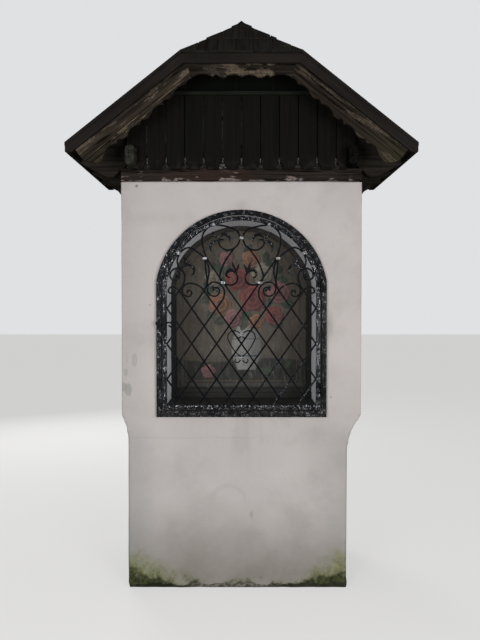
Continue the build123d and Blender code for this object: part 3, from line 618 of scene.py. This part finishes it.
def camera():
    """The photograph's camera, square on to the front and tilted down a little."""
    data = bpy.data.cameras.new("camera")
    data.sensor_width = SENSOR
    data.lens = SENSOR * FOCAL_PIXELS / FRAME_LONG_SIDE
    made = bpy.data.objects.new("camera", data)
    made.location = (CAMERA_SIDE, WALL_FRONT - CAMERA_DISTANCE, CAMERA_HEIGHT)
    made.rotation_euler = (math.radians(90) - CAMERA_TILT, 0, 0)
    bpy.context.scene.collection.objects.link(made)
    bpy.context.scene.camera = made


def area_light(name, place, size, watts):
    """A soft square lamp that looks at the middle of the object."""
    data = bpy.data.lights.new(name, "AREA")
    data.size = size
    data.energy = watts
    made = bpy.data.objects.new(name, data)
    made.location = place
    made.rotation_euler = (Vector(LIGHT_AIM) - Vector(place)).to_track_quat("-Z", "Y").to_euler()
    bpy.context.scene.collection.objects.link(made)


def studio():
    """Pale floor and backdrop, soft lamps."""
    world = bpy.data.worlds.new("studio")
    world.use_nodes = True
    tree = world.node_tree
    background = tree.nodes["Background"]
    background.inputs["Color"].default_value = (0.93, 0.94, 0.96, 1)
    path = tree.nodes.new("ShaderNodeLightPath")
    seen = tree.nodes.new("ShaderNodeMath")
    seen.operation = "MAXIMUM"
    tree.links.new(path.outputs["Is Camera Ray"], seen.inputs[0])
    tree.links.new(path.outputs["Is Glossy Ray"], seen.inputs[1])
    strength = tree.nodes.new("ShaderNodeMapRange")
    tree.links.new(seen.outputs[0], strength.inputs["Value"])
    strength.inputs["To Min"].default_value = WORLD_LIGHT
    strength.inputs["To Max"].default_value = WORLD_SEEN
    tree.links.new(strength.outputs[0], background.inputs["Strength"])
    bpy.context.scene.world = world
    bpy.context.scene.view_settings.view_transform = "Standard"
    bpy.ops.mesh.primitive_plane_add(size=FLOOR_SIZE, location=(0, 0, 0))
    floor = bpy.context.object
    floor.name = "floor"
    s = Surface("floor", roughness=0.9, specular=0.0)
    s.colour((0.34, 0.338, 0.334))
    s.shader.inputs["Emission Color"].default_value = (1, 0.995, 0.985, 1)
    camera_ray = s.tree.nodes.new("ShaderNodeLightPath").outputs["Is Camera Ray"]
    s.feed(s.shader.inputs["Emission Strength"], s.math("MULTIPLY", camera_ray, FLOOR_SEEN))
    floor.data.materials.append(s.material)
    for lamp in LAMPS:
        area_light(*lamp)


def dress(material, *names):
    """Give CAD nodes a material."""
    for name in names:
        mesh = nodes[name].data
        mesh.materials.clear()
        mesh.materials.append(material)


def bevelled(piece, width, segments):
    """A modifier that rounds the sharp edges of a piece."""
    made = piece.modifiers.new("bevel", "BEVEL")
    made.width = width
    made.segments = segments
    made.limit_method = "ANGLE"
    return made


def soften(names, width, segments=2):
    """Round the sharp edges of CAD nodes with modifiers."""
    for name in names:
        nodes[name].modifiers.new("weld", "WELD").merge_threshold = WELD_DISTANCE
        bevelled(nodes[name], width, segments).angle_limit = SHARP_ANGLE


def ends(name):
    """The front and the rear node of a name."""
    return [f"front_{name}", f"rear_{name}"]


def sides(name):
    """The left and the right node of a name."""
    return [f"left_{name}", f"right_{name}"]


def add_object(name, mesh, material, body, replaced=()):
    """Put a finished mesh into the scene as a piece of the object."""
    mesh.materials.clear()
    mesh.materials.append(material)
    made = bpy.data.objects.new(name, mesh)
    bpy.context.scene.collection.objects.link(made)
    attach(made, body)
    if replaced:
        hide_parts(*replaced)
    return made


def evaluated(piece):
    """The piece's mesh with its modifiers applied, as a new mesh."""
    graph = bpy.context.evaluated_depsgraph_get()
    return bpy.data.meshes.new_from_object(piece.evaluated_get(graph))


def finished(name, shape):
    """The mesh of a shape, which is freed."""
    mesh = bpy.data.meshes.new(name)
    shape.to_mesh(mesh)
    shape.free()
    return mesh


def node_copies(names):
    """Scratch objects with welded copies of CAD meshes."""
    made = []
    for name in names:
        shape = bmesh.new()
        shape.from_mesh(nodes[name].data)
        bmesh.ops.remove_doubles(shape, verts=shape.verts, dist=WELD_DISTANCE)
        scratch = bpy.data.objects.new("scratch_" + name, finished("scratch_" + name, shape))
        bpy.context.scene.collection.objects.link(scratch)
        made.append(scratch)
    return made


def remeshed(names, voxel):
    """The CAD nodes as one even, closed mesh."""
    scratches = node_copies(names)
    first = scratches[0]
    for other in scratches[1:]:
        union = first.modifiers.new("union", "BOOLEAN")
        union.operation = "UNION"
        union.solver = "EXACT"
        union.object = other
    remesh = first.modifiers.new("remesh", "REMESH")
    remesh.mode = "VOXEL"
    remesh.voxel_size = voxel
    mesh = evaluated(first)
    for scratch in scratches:
        bpy.data.objects.remove(scratch)
    return mesh


def shade_smooth(mesh):
    mesh.polygons.foreach_set("use_smooth", [True] * len(mesh.polygons))


def plaster_skin(material):
    """The masonry under one coat of hand-laid plaster."""
    masonry = ("lower_shaft", "left_niche_pier", "right_niche_pier", "niche_back_wall", "niche_arch_head")
    mesh = remeshed(masonry, PLASTER_VOXEL)
    normals = [v.normal.copy() for v in mesh.vertices]
    for vertex, normal in zip(mesh.vertices, normals):
        p = vertex.co
        swell = BROAD_SWELL * noise.noise(p * 2.3) + SMALL_SWELL * noise.noise(p * 8 + Vector((7, 3, 1)))
        if p.z < FOOT_HEIGHT:
            level = 1 - p.z / FOOT_HEIGHT
            swell += FOOT_FLARE * level * (0.6 + 0.8 * noise.noise(p * 14))
            normal = Vector((normal.x, normal.y, 0))
        vertex.co = p + normal * swell
        vertex.co.z = max(vertex.co.z, 0)
    shade_smooth(mesh)
    add_object("plaster_skin", mesh, material, "root", masonry)


def hammered(name, node, body, material):
    """A forged piece with real hammer marks in its surface."""
    mesh = remeshed([node], FORGED_VOXEL)
    normals = [v.normal.copy() for v in mesh.vertices]
    for vertex, normal in zip(mesh.vertices, normals):
        distances = noise.voronoi(vertex.co / HAMMER_MARK, distance_metric="DISTANCE")[0]
        vertex.co += normal * HAMMER_DEPTH * (min(distances[0], 0.8) - 0.4)
    shade_smooth(mesh)
    add_object(name, mesh, material, body, [node])


def forged_leaves(material):
    """The leaves, puffed up from their flat outlines, with a ridge along the middle."""
    outline = KDTree(len(nodes["door_leaves"].data.vertices))
    for i, vertex in enumerate(nodes["door_leaves"].data.vertices):
        outline.insert((vertex.co.x, 0, vertex.co.z), i)
    outline.balance()
    mesh = remeshed(["door_leaves"], LEAF_VOXEL)
    for vertex in mesh.vertices:
        p = vertex.co
        distance = outline.find((p.x, 0, p.z))[2]
        inward = min(distance / LEAF_RIM, 1)
        if p.y < LEAF_FRONT or REAR_LEAF_FRONT[0] < p.y < REAR_LEAF_FRONT[1]:
            vertex.co.y -= LEAF_PUFF * math.sqrt(inward) + 0.0012 * noise.noise(p * 160)
    shade_smooth(mesh)
    add_object("forged_leaves", mesh, material, "grille_door", ["door_leaves"])


def rail_beads(material):
    """The row of beads along the top of the door's bottom rail."""
    shape = bmesh.new()
    rail_top = DOOR_LOW.z + DOOR_RAIL
    inner = DOOR_HIGH.x - DOOR_STILE
    count = int(2 * inner / BEAD_PITCH)
    for i in range(count + 1):
        x = (i - count / 2) * BEAD_PITCH
        place = Matrix.Translation((x, IRON_FRONT, rail_top - 0.75 * BEAD_RADIUS))
        dome = Matrix.Diagonal((1, 0.8, 1, 1))
        radius = BEAD_RADIUS * rng.uniform(0.9, 1.1)
        bmesh.ops.create_uvsphere(shape, u_segments=14, v_segments=9, radius=radius, matrix=place @ dome)
    mesh = finished("rail_beads", shape)
    shade_smooth(mesh)
    add_object("rail_beads", mesh, material, "grille_door")


def slope_plane(node):
    """The upper face of a roof slope: its normal and its corners in order."""
    mesh = nodes[node].data
    face = max((p for p in mesh.polygons if p.normal.z > 0.3), key=lambda p: p.area)
    normal = face.normal.copy()
    top = max(v.co.dot(normal) for v in mesh.vertices)
    corners = []
    for vertex in mesh.vertices:
        if vertex.co.dot(normal) > top - 0.0005 and all((vertex.co - c).length > 0.001 for c in corners):
            corners.append(vertex.co.copy())
    centre = sum(corners, Vector()) / len(corners)
    across = Vector((0, 0, 1)).cross(normal).normalized()
    upward = normal.cross(across)
    corners.sort(key=lambda c: math.atan2((c - centre).dot(upward), (c - centre).dot(across)))
    return normal, across, upward, corners


def clipped(polygon, corners):
    """A flat polygon cut to a convex outline, both anticlockwise."""
    for i, end in enumerate(corners):
        start = corners[i - 1]
        edge = end - start
        inside = [edge.cross(point - start) >= 0 for point in polygon]
        kept = []
        for j, point in enumerate(polygon):
            before = polygon[j - 1]
            if inside[j] != inside[j - 1]:
                share = edge.cross(start - before) / edge.cross(point - before)
                kept.append(before + (point - before) * share)
            if inside[j]:
                kept.append(point)
        polygon = kept
        if not polygon:
            return []
    return polygon


def shingle_outline(left, right, tail, head):
    """A shingle with a slightly crooked, worn tail, anticlockwise."""
    middle = rng.uniform(0.35, 0.65)
    drop = [rng.uniform(-0.004, 0.003) for _ in range(3)]
    return [
        Vector((left, tail + drop[0])),
        Vector((left + (right - left) * middle, tail + drop[1])),
        Vector((right, tail + drop[2])),
        Vector((right, head)),
        Vector((left, head)),
    ]


def lay_shingles(name, node, material):
    """Rows of wooden shingles over one slope of the roof."""
    normal, across, upward, corners = slope_plane(node)
    verge = max(abs(c.y) for c in corners)
    outline = []
    for corner in corners:
        if abs(normal.x) > 0.1 and abs(corner.y) > verge - 0.001:
            corner = Vector((corner.x, corner.y - math.copysign(STRIP_WIDTH, corner.y), corner.z))
        if abs(normal.x) < 0.1 and abs(corner.y) > verge - 0.001:
            corner = Vector((corner.x + math.copysign(HIP_REACH, corner.x), corner.y, corner.z))
        outline.append(Vector((corner.dot(across), corner.dot(upward))))
    level = corners[0].dot(normal)
    bottom = min(c.y for c in outline)
    top = max(c.y for c in outline)
    left_end = min(c.x for c in outline)
    right_end = max(c.x for c in outline)
    shape = bmesh.new()
    grain = shape.verts.layers.float_vector.new("grain")
    tint = shape.verts.layers.float.new("tint")
    rows = int((top - bottom) / EXPOSURE) + 1
    for row in range(-1, rows):
        tail = bottom + max(row, 0) * EXPOSURE
        sunk = SHINGLE_THICKNESS * 0.5 if row < 0 else 0.0
        x = left_end - rng.uniform(0, SHINGLE_WIDTHS[0])
        while x < right_end:
            width = rng.uniform(*SHINGLE_WIDTHS)
            flat = clipped(shingle_outline(x, x + width - SHINGLE_GAP, tail, tail + SHINGLE_LENGTH), outline)
            lift = rng.uniform(-0.001, 0.0015) - sunk
            lean = rng.uniform(-0.012, 0.012)
            shift = (rng.uniform(0, 40), rng.uniform(0, 40), rng.uniform(0, 40))
            shade = rng.random()
            middle = x + width / 2
            x += width
            if len(flat) < 3:
                continue
            rings = []
            for under in (0, 1):
                ring = []
                for point in flat:
                    fall = (point.y - tail) / EXPOSURE * SHINGLE_THICKNESS
                    height = TAIL_RISE + lift + lean * (point.x - middle) - fall
                    height = max(height - under * SHINGLE_THICKNESS, -COVERING + 0.0005 * (1 - under))
                    vertex = shape.verts.new(across * point.x + upward * point.y + normal * (level + height))
                    vertex[grain] = (point.x + shift[0], point.y + shift[1], under * 0.01 + shift[2])
                    vertex[tint] = shade
                    ring.append(vertex)
                rings.append(ring)
            shape.faces.new(rings[0])
            shape.faces.new(list(reversed(rings[1])))
            for i in range(len(flat)):
                shape.faces.new((rings[1][i - 1], rings[1][i], rings[0][i], rings[0][i - 1]))
    made = add_object(name, finished(name, shape), material, "root", [node])
    bevelled(made, SHINGLE_BEVEL, 1)


def verge_strip(name, node, material):
    """The thin batten along the verges of a side slope, against which the shingles end."""
    normal, _, upward, corners = slope_plane(node)
    shape = bmesh.new()
    low = min(corners, key=lambda c: c.dot(upward)).dot(upward)
    verge = max(abs(c.y) for c in corners)
    level = corners[0].dot(normal)
    section = (
        (verge, -COVERING),
        (verge, STRIP_RISE),
        (verge - STRIP_WIDTH, STRIP_RISE),
        (verge - STRIP_WIDTH, -COVERING),
    )
    for way in (-1, 1):
        ends_up = [c.dot(upward) for c in corners if abs(c.y - way * verge) < 0.001]
        rings = []
        for up in (low, max(ends_up) + 2 * HIP_REACH):
            ring = []
            for y, height in section:
                plumb = (STRIP_RISE - height) * normal.x / upward.x if up == low else 0
                point = upward * (up + plumb) + normal * (level + height)
                ring.append(shape.verts.new((point.x, way * y, point.z)))
            rings.append(ring)
        for i in range(4):
            shape.faces.new((rings[0][i - 1], rings[0][i], rings[1][i], rings[1][i - 1]))
        shape.faces.new(rings[0])
        shape.faces.new(list(reversed(rings[1])))
    bmesh.ops.recalc_face_normals(shape, faces=shape.faces)
    made = add_object(name, finished(name, shape), material, "root")
    bevelled(made, STRIP_BEVEL, 2)


def smooth_step(low, high, value):
    share = min(max((value - low) / (high - low), 0), 1)
    return share * share * (3 - 2 * share)


def blend_colour(first, second, share):
    return tuple(a + (b - a) * share for a, b in zip(first, second))


class Rose:
    """A rose seen from the front: petals in turns about its heart."""

    def __init__(self, x, z, radius, colour):
        self.x, self.z, self.radius, self.colour = x, z, radius, colour
        self.turn = rng.uniform(0, math.tau)

    def paint(self, x, z, below):
        dx, dz = x - self.x, z - self.z
        distance = math.hypot(dx, dz) / self.radius
        angle = math.atan2(dz, dx) + self.turn
        rim = 1 + 0.1 * math.cos(5 * angle)
        if distance > rim:
            return below
        petal = (distance * 2.6 + angle / math.tau) % 1
        light = 0.45 + 0.75 * petal + 0.25 * (dz - dx) / self.radius
        light *= 0.55 + 0.45 * smooth_step(0, 0.5, distance)
        return tuple(c * light for c in self.colour)


class Leaf:
    """A pointed painted leaf with a pale midrib."""

    def __init__(self, x, z, length, angle, colour):
        self.x, self.z, self.length, self.colour = x, z, length, colour
        self.along = (math.cos(angle), math.sin(angle))

    def paint(self, x, z, below):
        dx, dz = x - self.x, z - self.z
        run = (dx * self.along[0] + dz * self.along[1]) / self.length
        aside = (dz * self.along[0] - dx * self.along[1]) / self.length
        if not 0 < run < 1 or abs(aside) > 0.3 * math.sin(math.pi * run):
            return below
        light = 1.3 if abs(aside) < 0.03 else 0.75 + 0.9 * max(aside, -0.15)
        return tuple(c * light for c in self.colour)


def vase_paint(x, z, below):
    """A pale stoneware vase with two grey-blue bands."""
    foot, top = VASE_FOOT, VASE_FOOT + VASE_HEIGHT
    if not foot < z < top:
        return below
    rise = (z - foot) / VASE_HEIGHT
    half = VASE_RADIUS * (0.5 + 0.62 * math.sin(math.pi * (0.12 + 0.72 * rise)) ** 1.5 - 0.12 * rise)
    across = (x - VASE_X) / half
    if abs(across) > 1:
        return below
    light = 1.05 - 0.55 * smooth_step(-0.5, 1, across) - 0.25 * smooth_step(-0.7, -1, across)
    banded = 0.30 < rise < 0.34 or 0.68 < rise < 0.71
    colour = (0.10, 0.13, 0.16) if banded else (0.34, 0.335, 0.32)
    return tuple(c * light for c in colour)


def backdrop_paint(x, z):
    """Ochre wall above a dark table, darker to the edges, within a grey-white arched border."""
    cloud = 0.5 + 0.5 * noise.noise(Vector((x * 5, 3.1, z * 5)))
    wall = blend_colour((0.105, 0.08, 0.055), (0.19, 0.155, 0.105), cloud)
    glow = smooth_step(0.55, 0.1, math.hypot(x + 0.05, z - BOUQUET_Z - 0.05))
    wall = blend_colour(blend_colour(wall, (0.05, 0.042, 0.034), 0.55), wall, 0.35 + 0.65 * glow)
    table_edge = PICTURE_BOTTOM + 0.17 + 0.012 * math.sin(x * 9)
    table = blend_colour((0.012, 0.016, 0.011), (0.032, 0.029, 0.021), cloud)
    tone = blend_colour(table, wall, smooth_step(table_edge - 0.006, table_edge + 0.006, z))
    if z > ARCH_CENTRE:
        inward = PICTURE_RADIUS - math.hypot(x, z - ARCH_CENTRE)
    else:
        inward = min(PICTURE_HALF - abs(x), z - PICTURE_BOTTOM + 0.02)
    border = smooth_step(0.03, 0.034, inward) * smooth_step(0.052, 0.048, inward)
    tone = blend_colour(tone, (0.075, 0.071, 0.064), 0.7 * border)
    line = smooth_step(0.058, 0.06, inward) * smooth_step(0.066, 0.064, inward)
    return blend_colour(tone, (0.17, 0.11, 0.045), 0.8 * line)


def inside_picture(x, z):
    """Whether a place lies on the part of the panel that gets paint."""
    if z <= ARCH_CENTRE:
        return abs(x) <= PICTURE_HALF + PAINT_OVERLAP and z >= PICTURE_BOTTOM - PAINT_OVERLAP
    return math.hypot(x, z - ARCH_CENTRE) <= PICTURE_RADIUS + 0.004


def picture_motifs():
    """What stands in front of the backdrop, from back to front."""
    motifs = []
    for i in range(LEAF_COUNT):
        angle = math.tau * i / LEAF_COUNT + rng.uniform(-0.1, 0.1)
        reach = rng.uniform(0.1, 0.2)
        x = VASE_X + reach * 1.1 * math.cos(angle)
        z = BOUQUET_Z + 0.03 + reach * math.sin(angle)
        tone = blend_colour(DARK_GREEN, GREEN, rng.random())
        motifs.append(Leaf(x, z, rng.uniform(0.07, 0.12), angle + rng.uniform(-0.6, 0.6), tone))
    for x, z, radius, colour in ROSES:
        motifs.append(Rose(VASE_X + x, BOUQUET_Z + z, radius, colour))
    for x, z, length, angle in FALLEN_LEAVES:
        motifs.append(Leaf(x, PICTURE_BOTTOM + z, length, angle, GREEN))
    x, z, radius = FALLEN_ROSE
    motifs.append(Rose(x, PICTURE_BOTTOM + z, radius, PINK))
    return motifs


def painting(material):
    """The vase of roses on the panel, as a thin sheet of paint with a colour at each point."""
    motifs = picture_motifs()
    shape = bmesh.new()
    colour = shape.verts.layers.float_color.new("colour")
    front = PANEL_LOW.y - PAINT_THICKNESS
    columns = int(2 * PICTURE_HALF / PICTURE_GRID) + 2
    rows = int((PICTURE_TOP - PICTURE_BOTTOM) / PICTURE_GRID) + 2
    grid = {}
    for row in range(rows + 1):
        for column in range(columns + 1):
            x = (column - columns / 2) * PICTURE_GRID
            z = PICTURE_BOTTOM - PAINT_OVERLAP + row * PICTURE_GRID
            if not inside_picture(x, z):
                continue
            tone = backdrop_paint(x, z)
            tone = vase_paint(x, z, tone)
            for motif in motifs:
                tone = motif.paint(x, z, tone)
            vertex = shape.verts.new((x, front, z))
            grey = sum(tone) / 3
            vertex[colour] = (*(DIMMING * (0.82 * part + 0.18 * grey) for part in tone), 1)
            grid[row, column] = vertex
    for row, column in list(grid):
        corners = [(row, column), (row, column + 1), (row + 1, column + 1), (row + 1, column)]
        if all(corner in grid for corner in corners):
            shape.faces.new([grid[corner] for corner in corners])
    rim = [edge for edge in shape.edges if edge.is_boundary]
    pulled = bmesh.ops.extrude_edge_only(shape, edges=rim)["geom"]
    for vertex in (v for v in pulled if isinstance(v, bmesh.types.BMVert)):
        vertex.co.y = PANEL_LOW.y + PAINT_THICKNESS
    mesh = finished("painting", shape)
    shade_smooth(mesh)
    add_object("painting", mesh, material, "root")


camera()
studio()

plaster_skin(plaster())

black = iron("black_iron", hammer=0.0009, glint_share=0.0, specular=0.04)
# The rising bars get more painted glints low on the right.
rising = iron("rising_iron", hammer=0.0009, glint_share=0.0, specular=0.04, worn=0.5)
forged = iron("forged_iron", hammer=0.0011, glint_share=0.17, specular=0.06)
beaten = iron("beaten_iron", hammer=0.0012, glint_share=0.3, specular=0.05)
highlight_silver = silver_highlight_iron()
dress(rising, "door_rising_bars")
dress(
    black, "frame_hinge_pins", "door_falling_bars", "door_heart", "door_hinge_knuckles",
    "lock_plate", "latch_handle", "grille_fixed_frame", "door_frame", "door_leaves",
)
dress(highlight_silver, "door_collars")
soften(["door_falling_bars", "door_rising_bars"], 0.0015)
soften(["door_heart", "door_collars", "lock_plate", "latch_handle"], 0.0012)
soften(["frame_hinge_pins", "door_hinge_knuckles"], 0.0008)
hammered("forged_fixed_frame", "grille_fixed_frame", "root", forged)
hammered("forged_door_frame", "door_frame", "grille_door", beaten)
forged_leaves(forged)
rail_beads(highlight_silver)

slope_normal = slope_plane("right_roof_covering")[0]
roof_pitch = math.atan2(slope_normal.x, slope_normal.z)
dress(gable_wood(), *ends("gable_boards"))
dress(gable_backing(), *ends("upper_gable_panel"))
dress(beam_wood(), *ends("tie_beam"))
dress(level_board_wood(), *ends("hip_bargeboard"))
dress(board_wood("left_board_wood", roof_pitch, 1.0, 2.4, 1.2), *ends("left_bargeboard"))
dress(board_wood("right_board_wood", -roof_pitch, 0.3, 2.5, 0.85), *ends("right_bargeboard"))
trim = trim_wood(roof_pitch)
dress(trim, *ends("verge_trim"), "ridge_cap")
dress(wood("eaves_wood", (0.012, 0.011, 0.009), (0.026, 0.023, 0.019), along=1), *sides("eaves_board"))
dress(wood("rail_wood", (0.009, 0.0105, 0.008), (0.019, 0.021, 0.016)), *ends("gable_rail"))
for side, dark, light in (
    ("left", (0.02, 0.021, 0.017), (0.05, 0.052, 0.042)),
    ("right", (0.004, 0.004, 0.0035), (0.009, 0.0088, 0.0075)),
):
    dress(wood(f"{side}_purlin_wood", dark, light, along=1, cracks=0.01), f"{side}_purlin")
dress(wood("rafter_wood", (0.012, 0.0105, 0.0085), (0.03, 0.026, 0.021)), *sides("rafters"))
dress(wood("deck_wood", (0.012, 0.0105, 0.0085), (0.03, 0.026, 0.021), along=1), *sides("roof_deck"))
dress(wood("hip_deck_wood", (0.012, 0.0105, 0.0085), (0.03, 0.026, 0.021)), *ends("hip_deck"))
timber = ends("tie_beam") + ends("hip_bargeboard") + ends("left_bargeboard") + ends("right_bargeboard")
timber += ends("verge_trim") + sides("eaves_board") + ends("gable_rail") + sides("rafters") + ["ridge_cap"]
soften(timber, 0.003)
soften(ends("gable_boards"), 0.0015, 1)

shingles = shingle_wood()
for slope in sides("roof_covering") + ends("hip_covering"):
    lay_shingles(slope.replace("covering", "shingles"), slope, shingles)
for slope in sides("roof_covering"):
    verge_strip(slope.replace("roof_covering", "verge_strips"), slope, trim)

dress(stone(), "niche_sill")
dress(painted_frame(), "picture_frame", "picture_ledge", "picture_panel")
soften(["niche_sill", "picture_frame", "picture_ledge"], 0.002)
painting(picture_paint())
